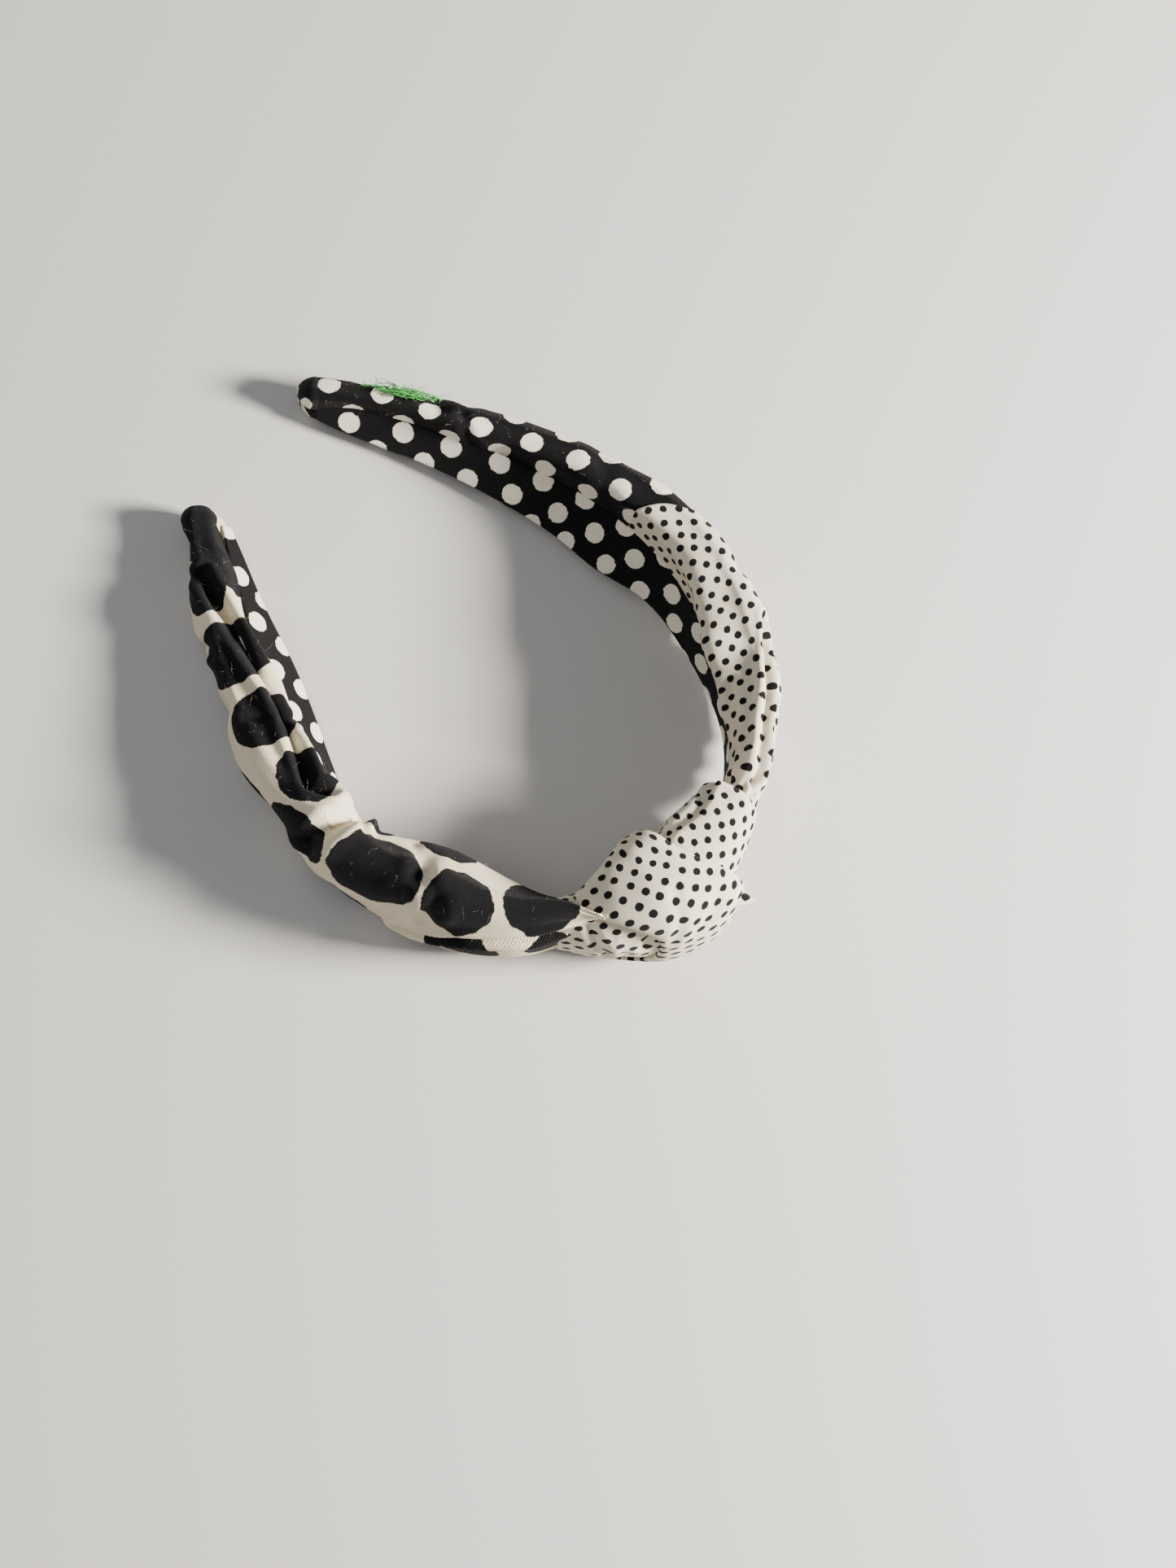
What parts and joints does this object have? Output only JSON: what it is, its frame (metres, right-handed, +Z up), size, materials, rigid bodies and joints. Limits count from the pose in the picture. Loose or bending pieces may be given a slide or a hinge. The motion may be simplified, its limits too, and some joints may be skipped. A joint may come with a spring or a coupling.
{
  "type": "knotted headband",
  "caption": "Padded fabric headband lying on its long edge: a springy arch with a soft knot at the crown and two tapering arms in contrasting dotted cloths.",
  "frame": {"origin": "middle of the footprint, on the surface that the headband lies on", "axes": "+Y from the knot to the two tips, +X towards the arm with the dark dotted cover, +Z up from the surface"},
  "size_m": [0.134, 0.1746, 0.0433],
  "materials": {
    "core_plastic": "moulded black plastic strip",
    "pad_foam": "soft open foam",
    "big_spot_cloth": "off-white twill printed with large black spots",
    "dark_dot_cloth": "black cloth printed with off-white dots",
    "pin_dot_cloth": "white cloth printed with small black dots",
    "green_thread": "loose bright green thread"
  },
  "bodies": {
    "crown": {"core_crown": "core_plastic", "lining_crown": "dark_dot_cloth", "pad_crown": "pad_foam", "knot_strap": "pin_dot_cloth", "knot_tail": "pin_dot_cloth", "knot_front_wrap": "pin_dot_cloth", "knot_corner_tuck": "pin_dot_cloth"},
    "left_arm": {"core_left": "core_plastic", "pad_left": "pad_foam", "cover_left": "big_spot_cloth", "lining_left": "dark_dot_cloth", "tip_fold_left": "big_spot_cloth"},
    "right_arm": {"core_right": "core_plastic", "pad_right": "pad_foam", "cover_right_pin_dot": "pin_dot_cloth", "cover_right_dark": "dark_dot_cloth", "lining_right": "dark_dot_cloth", "tip_fold_right": "dark_dot_cloth", "thread_tuft": "green_thread"}
  },
  "joints": [
    {"name": "left_arm_flex", "type": "hinge", "parent": "crown", "child": "left_arm", "pos_m": [-0.0352, -0.05001, 0.01933], "axis": [0, 0.1071, 0.9942], "range_deg": [-6, 18], "stiffness_Nm_per_rad": 1.2},
    {"name": "right_arm_flex", "type": "hinge", "parent": "crown", "child": "right_arm", "pos_m": [0.01444, -0.06322, 0.02075], "axis": [0, -0.1071, -0.9942], "range_deg": [-6, 18], "stiffness_Nm_per_rad": 1.2}
  ]
}
